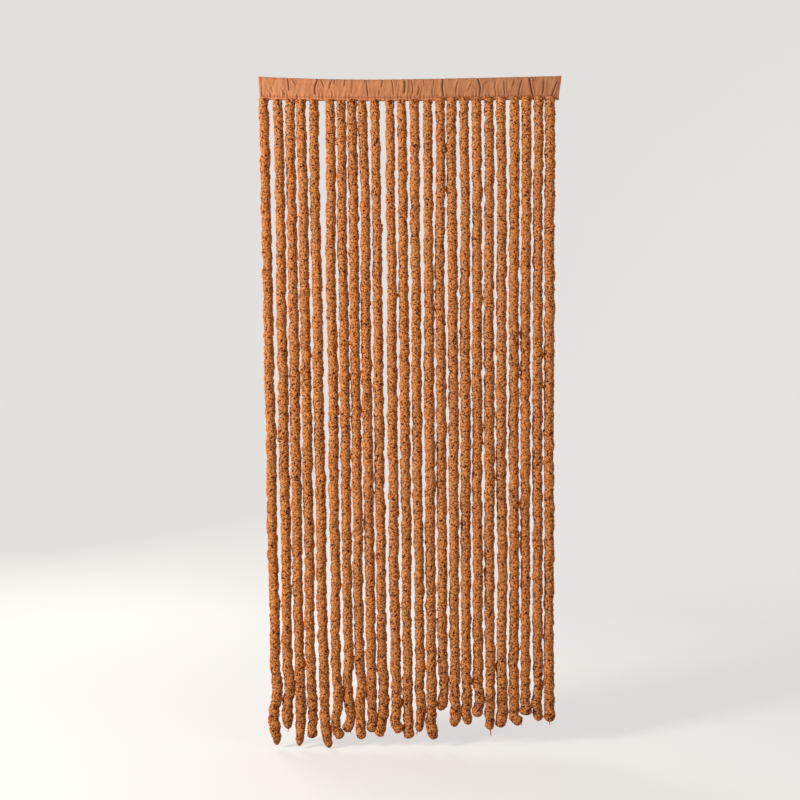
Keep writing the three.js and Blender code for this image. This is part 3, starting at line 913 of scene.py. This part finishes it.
def ring_faces(rings, sides):
    """Corners of the four-sided faces between neighbouring rings of points."""
    ring, place = np.indices((rings - 1, sides)).reshape(2, -1)
    after = (place + 1) % sides
    near, far = ring * sides, (ring + 1) * sides
    return np.stack([near + place, near + after, far + after, far + place], -1)


def tube(line, radii, sides):
    """Points and faces of a closed tube round a line, with its own radius at each place."""
    line = np.asarray(line, float)
    start = line[1] - line[0]
    guide = (0, 1, 0) if abs(start[1]) < 0.8 * np.linalg.norm(start) else (1, 0, 0)
    _, across, up = directions(line, guide)
    angle = 2 * np.pi * np.arange(sides) / sides
    ring = np.cos(angle)[:, None, None] * across + np.sin(angle)[:, None, None] * up
    points = (line + ring * np.asarray(radii)[:, None]).transpose(1, 0, 2).reshape(-1, 3)
    wall = ring_faces(len(line), sides)
    place = np.arange(sides)
    after = (place + 1) % sides
    count = len(points)
    last_ring = count - sides
    start_fan = np.stack([after, place, np.full(sides, count)], -1)
    end_fan = np.stack([last_ring + place, last_ring + after, np.full(sides, count + 1)], -1)
    faces = np.vstack([wall[:, [0, 1, 2]], wall[:, [0, 2, 3]], start_fan, end_fan])
    return np.vstack([points, line[0], line[-1]]), faces


def joined(parts):
    """Several meshes of points and faces as one."""
    points, faces, count = [], [], 0
    for some_points, some_faces in parts:
        points.append(some_points)
        faces.append(some_faces + count)
        count += len(some_points)
    return np.vstack(points), np.vstack(faces)


def stitches(material):
    """The stitches along the seam, front and back, and down the two side hems."""
    rng = np.random.default_rng(SEED)
    width = TOP_RIGHT - TOP_LEFT
    pinch = SLEEVE_PROFILE[0][0]
    parts = []

    def stitch(across, depth, height, swell=0):
        """One stitch, through three places on the cloth, its middle proud of it."""
        places, _ = cloth(np.array(across), np.array(depth), np.array(height))
        side = math.copysign(1, depth[0])
        places[:, 1] += side * np.array(STITCH_RISE)
        line = smooth_line(places, 2)
        radius = STITCH_RADIUS * (1 + STITCH_SWELL["share"] * swell)
        parts.append(tube(line, radius * np.array(STITCH_TAPER), 5))

    sideways, upwards = STITCH_UNEVEN
    for side in (-1, 1):
        count = round(width / STITCH_PITCH)
        for n in range(1, count):
            middle = (n + rng.uniform(-sideways, sideways)) / count
            reach = STITCH_LENGTH / 2 / width
            height = -SLEEVE_HEIGHT + rng.uniform(-upwards, upwards)
            swell = math.sin(2 * math.pi * n / STITCH_SWELL["run"] + 3 * math.sin(0.11 * n))
            stitch([middle - reach, middle, middle + reach], [side * pinch] * 3, [height] * 3, swell)
        section = heading_section()
        half = section[side * section[:, 0] > 0]
        half = half[np.argsort(half[:, 1])]
        for end in (SIDE_SEAM / width, 1 - SIDE_SEAM / width):
            for middle in np.arange(SIDE_SEAM_FOOT - SLEEVE_HEIGHT, -SIDE_SEAM_TOP, STITCH_PITCH):
                heights = middle + np.array([-1, 0, 1]) * STITCH_LENGTH / 2
                depths = np.interp(heights, half[:, 1], half[:, 0])
                stitch([end] * 3, depths, heights)
    points, faces = joined(parts)
    return mesh_object("seam_stitches", points, faces, material)


def strand_line(number, strand):
    """The middle line of a strand, from its root in the hem to its tip."""
    root = strand["levels"][0]
    low_root = LOW_ROOT["middle"] - LOW_ROOT["reach"] * math.cos(LOW_ROOT["turn"] * number)
    root_down = -seam(root) + (HIGH_ROOT if number >= FIRST_HIGH_STRAND else low_root)
    places = [(root, root_down), *zip(strand["levels"], LEVELS)]
    places += [strand["knee"], strand["bend"], strand["tip"]]
    points = []
    for x, down in places:
        phase = 2 * math.pi * down / DEPTH_WAVE["length"] + DEPTH_WAVE["turn"] * number
        swing = DEPTH_WAVE["reach"] * math.sin(phase) * ease(down, DEPTH_WAVE["from"], DEPTH_WAVE["to"])
        points.append((x, swing, -down))
    x, y, z = points[-1]
    points[-1] = (x, y - strand["forward"], z)
    return smooth_line(np.array(points, float), LINE_STEPS)


def loop_heights(rows, rng):
    """Height of the pile at each point of its net, from 0 between the loops to 1 on their crowns. Most
    crowns run on into one of the six points beside them, so that the loops lie all ways."""
    row, column = np.indices((rows, PILE_COLUMNS))
    crown = (column - row // 2 + 2 * row) % 3 == 0
    crown &= rng.random(crown.shape) > LOOP_MISSING
    height = np.where(crown, rng.uniform(0.55, 1, crown.shape), rng.uniform(0, 0.25, crown.shape))
    towards = rng.integers(0, 6, crown.shape)
    row_step = np.array([0, 0, -1, -1, 1, 1])[towards]
    column_step = np.array([1, -1, 0, -1, 0, -1])[towards] + (row % 2) * (row_step != 0)
    runs = crown & (rng.random(crown.shape) < LOOP_RUN_ON)
    beside = (np.clip(row + row_step, 0, rows - 1)[runs], ((column + column_step) % PILE_COLUMNS)[runs])
    np.maximum.at(height, beside, height[runs] * rng.uniform(0.7, 0.95, int(runs.sum())))
    return height


def pile_surface(number, strand, length, along, place, turn, rng):
    """How far each point of the pile is from the strand's middle line, and its height in its loop. along
    and place are the distances of the net's rows and of its points from the root, and turn is a point's
    angle, from the left over the back."""
    height = loop_heights(len(along), rng)
    *upper, foot = strand["girth"]
    from_tip = length - along
    at_foot = np.interp(from_tip, FOOT_REACH[::-1], (1, 0))
    girth = mix(np.interp(along, GIRTH_LEVELS, upper), foot, at_foot)
    if number + 1 == KNOB["strand"]:
        girth *= 1 + KNOB["share"] * bell(from_tip - KNOB["above"], KNOB["reach"])
    radius = PILE_RADIUS * girth[:, None] + np.zeros(turn.shape)
    for lump_length, turns, reach in LUMPS:
        start = rng.uniform(0, 2 * np.pi)
        radius += reach * np.sin(2 * np.pi * place / lump_length + turns * turn + start)
    near_foot = ease(along, length - GROOVE_REACH, length - GROOVE_REACH / 3)[:, None]
    spiral = (turn + 2 * np.pi * place / GROOVE_PITCH + rng.uniform(0, 2 * np.pi)) / (2 * np.pi)
    groove = bell((spiral - np.round(spiral)) * 2, GROOVE_WIDTH) * near_foot
    radius -= GROOVE_DEPTH * groove
    height *= 1 - GROOVE_FLAT * groove
    partings = [(rng.uniform(0, length), rng.uniform(0, 2 * np.pi)) for _ in range(PARTINGS)]
    if number < FIRST_HIGH_STRAND:
        # The slit is cut twice in the same place, so that it is deep
        partings += [(rng.uniform(*SLIT_ALONG), -np.pi / 2 - rng.uniform(*SLIT_ASIDE))] * 2
    for at, round_at in partings:
        wide, deep = rng.uniform(*PARTING_WIDTH), rng.uniform(*PARTING_DEPTH)
        sideways = PILE_RADIUS * ((turn - round_at + np.pi) % (2 * np.pi) - np.pi)
        parting = bell(np.hypot((place - at) / PARTING_STRETCH, sideways), wide)
        radius -= deep * parting
        height *= 1 - PARTING_FLAT * parting
    radius += mix(LOOP_LOW, LOOP_HIGH, height)

    neck = HIGH_NECK if number >= FIRST_HIGH_STRAND else NECK
    radius *= np.interp(along, neck["along"], neck["share"])[:, None]
    closing = np.clip((along - (length - strand["taper"])) / strand["taper"], 0, 1)
    start_power, end_power = TIP_POWERS
    radius *= ((1 - closing**start_power) ** end_power)[:, None]
    return radius, height


def pile_faces(rows):
    """Faces of a strand's net of points and of the fan that closes it at each end. The points of the net
    are followed by the root and the tip."""
    row, column = np.indices((rows - 1, PILE_COLUMNS)).reshape(2, -1)
    a = row * PILE_COLUMNS + column
    b = row * PILE_COLUMNS + (column + 1) % PILE_COLUMNS
    c, d = a + PILE_COLUMNS, b + PILE_COLUMNS
    # Each second row is half a step further round, so its faces are cut along the other diagonal
    even = row % 2 == 0
    first = np.stack([a, c, np.where(even, b, d)], -1)
    second = np.stack([np.where(even, b, a), np.where(even, c, d), np.where(even, d, b)], -1)
    ring = np.arange(PILE_COLUMNS)
    after = (ring + 1) % PILE_COLUMNS
    root = rows * PILE_COLUMNS
    last = root - PILE_COLUMNS
    root_fan = np.stack([np.full(PILE_COLUMNS, root), ring, after], -1)
    tip_fan = np.stack([np.full(PILE_COLUMNS, root + 1), last + after, last + ring], -1)
    return np.vstack([first, second, root_fan, tip_fan])


def strand_piece(number, strand, material):
    """One strand: looped pile round its middle line, closed at the root and the tip."""
    rng = np.random.default_rng(SEED * 100 + number)
    line = strand_line(number, strand)
    along_line = distances(line)
    length = along_line[-1]
    rows = round(length / PILE_ROW_PITCH)
    along = (np.arange(rows) + 0.5) * length / rows
    middle = np.stack([np.interp(along, along_line, line[:, k]) for k in range(3)], -1)
    loose = ease(along, *SWAY_IN) * (1 - ease(along, length - SWAY_OUT[0], length - SWAY_OUT[1]))
    middle[:, 0] += waves(along, SWAYS, rng) * loose
    middle[:, 1] += waves(along, SWAYS, rng) * loose
    ahead, left, back = directions(middle, (0, 1, 0))

    turn = (np.arange(PILE_COLUMNS) + 0.5 * (np.arange(rows)[:, None] % 2)) * 2 * np.pi / PILE_COLUMNS
    turn = turn + waves(along, NET_TWISTS, rng)[:, None]
    turn += rng.uniform(-1, 1, turn.shape) * LOOP_JITTER / PILE_RADIUS
    slide = rng.uniform(-1, 1, turn.shape) * LOOP_JITTER
    place = along[:, None] + slide
    radius, height = pile_surface(number, strand, length, along, place, turn, rng)
    net = (
        middle[:, None]
        + left[:, None] * (radius * np.cos(turn))[..., None]
        + back[:, None] * (radius * np.sin(turn))[..., None]
        + ahead[:, None] * slide[..., None] * 0.5
    )
    points = np.vstack([net.reshape(-1, 3), line[0], line[-1]])
    # The height in the loop also sets the pile's painted shade in its material
    heights = np.concatenate([height.ravel(), [0.2, 0.5]])
    name = f"strand_{number + 1:02d}"
    return mesh_object(name, points, pile_faces(rows), material, pile_height=heights)


def core_tails(material):
    """Ends of the core cord, a little bent and thinner towards their cut."""
    rng = np.random.default_rng(SEED)
    parts = []
    for tail in TAILS:
        strand = STRANDS[tail["strand"] - 1]
        y = strand_line(tail["strand"] - 1, strand)[-1][1]
        (x0, down0), (x1, down1) = tail["start"], tail["end"]
        share = np.linspace(0, 1, len(TAIL_TAPER))
        bow = TAIL_BOW * np.sin(np.pi * share) * rng.choice([-1, 1])
        line = np.stack([mix(x0, x1, share) + bow, y + bow * 0.5, -mix(down0, down1, share)], -1)
        radii = tail["radius"] * np.array(TAIL_TAPER)
        parts.append(tube(line, radii, 6))
    points, faces = joined(parts)
    return mesh_object("core_tails", points, faces, material)


def cove(material):
    """A round cove of pale paper: a flat floor that curves up into a wall."""
    floor = cad_box[0].z / MM - COVE_BELOW
    arc = np.linspace(0, np.pi / 2, 16)
    profile = [(0.01, floor), (COVE_FLAT / 2, floor)]
    profile += [(COVE_FLAT + COVE_BEND * math.sin(a), floor + COVE_BEND * (1 - math.cos(a))) for a in arc]
    profile += [(COVE_FLAT + COVE_BEND, COVE_TOP)]
    angle = 2 * np.pi * np.arange(COVE_SIDES) / COVE_SIDES
    points = [(r * math.cos(a), r * math.sin(a), z) for r, z in profile for a in angle]
    faces = ring_faces(len(profile), COVE_SIDES)
    piece = mesh_object("studio_cove", points, faces, material)
    # The paper stands all round, so light from the world comes through it to the curtain
    piece.visible_diffuse = False
    piece.visible_glossy = False
    piece.visible_shadow = False


def lamp(name, place, aim, size, power, colour):
    """A square soft box in millimetres, aimed at a place."""
    light = bpy.data.lights.new(name, "AREA")
    light.size = size * MM
    light.energy = power
    light.color = linear(colour)[:3]
    stand = bpy.data.objects.new(name, light)
    bpy.context.scene.collection.objects.link(stand)
    stand.location = [v * MM for v in place]
    stand.visible_camera = False
    towards = stand.location.copy()
    towards.x, towards.y, towards.z = (a * MM for a in aim)
    stand.rotation_euler = (towards - stand.location).to_track_quat("-Z", "Y").to_euler()


def studio():
    """Soft light from the left, weaker light from the right and from behind, and the camera at the
    photograph's angle."""
    world = bpy.data.worlds.new("studio_air")
    world.use_nodes = True
    air = world.node_tree.nodes["Background"]
    air.inputs["Color"].default_value = linear("#fffaf4")
    air.inputs["Strength"].default_value = AIR_STRENGTH
    scene = bpy.context.scene
    scene.world = world
    for row in LAMPS:
        lamp(*row)
    scene.view_settings.view_transform = "Standard"

    camera = bpy.data.objects.new("camera", bpy.data.cameras.new("camera"))
    scene.collection.objects.link(camera)
    x, z = PICTURE_MIDDLE
    camera.location = (x * MM, -CAMERA_DISTANCE * MM, z * MM)
    camera.rotation_euler = (math.pi / 2, 0, 0)
    camera.data.sensor_width = SENSOR_WIDTH
    camera.data.lens = SENSOR_WIDTH * CAMERA_DISTANCE / (PICTURE_WIDTH * PIXEL)
    scene.camera = camera


chenille = looped_chenille()
cotton = plain_woven_cotton()
thread = twisted_yarn("spun_sewing_thread", "#6a2414", "#98402a", 0.8, 0.7)
core = twisted_yarn("twisted_core_cord", "#8c3620", "#c4573a", 1.6, 0.8)

heading_cloth = heading(cotton)
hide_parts("heading_sleeve")

strand_pieces = [strand_piece(number, strand, chenille) for number, strand in enumerate(STRANDS)]
for piece in strand_pieces:
    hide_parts("hem_and_strands")

seam_stitches = stitches(thread)
tail_piece = core_tails(core)

for piece in (heading_cloth, *strand_pieces, seam_stitches, tail_piece):
    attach(piece, "root")

cove(studio_paper())
studio()
